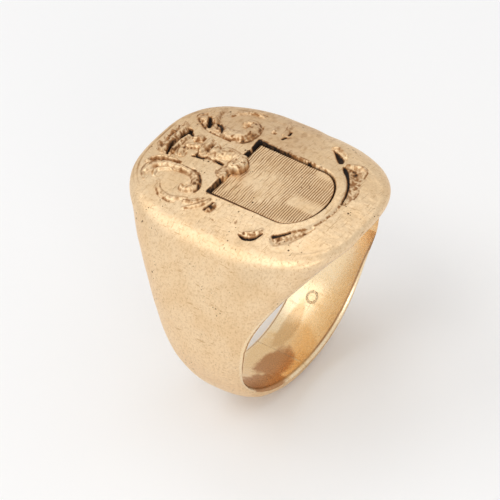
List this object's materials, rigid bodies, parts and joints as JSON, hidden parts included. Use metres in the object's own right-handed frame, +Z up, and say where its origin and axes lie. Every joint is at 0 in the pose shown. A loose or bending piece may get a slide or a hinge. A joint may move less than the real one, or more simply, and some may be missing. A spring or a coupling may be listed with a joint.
{
  "type": "signet ring",
  "caption": "Heavy signet ring: a long, gently domed face with a sunken shield, shoulders that taper round the finger, and a narrow band at the back.",
  "frame": {"origin": "centre of the finger hole", "axes": "+Y along the finger, towards the top of the shield; +Z up through the middle of the face; +X across the ring"},
  "size_m": [0.0208, 0.0214, 0.0216],
  "materials": {
    "yellow_gold": "worn satin outside, polished inside the finger hole",
    "gold_solder": "filed flush and worn satin"
  },
  "bodies": {
    "root": {"signet_head": "yellow_gold", "shield_plate": "yellow_gold", "left_shoulder": "yellow_gold", "right_shoulder": "yellow_gold", "sizing_piece": "yellow_gold", "left_head_solder": "gold_solder", "right_head_solder": "gold_solder", "left_sizing_solder": "gold_solder", "right_sizing_solder": "gold_solder"}
  },
  "joints": []
}
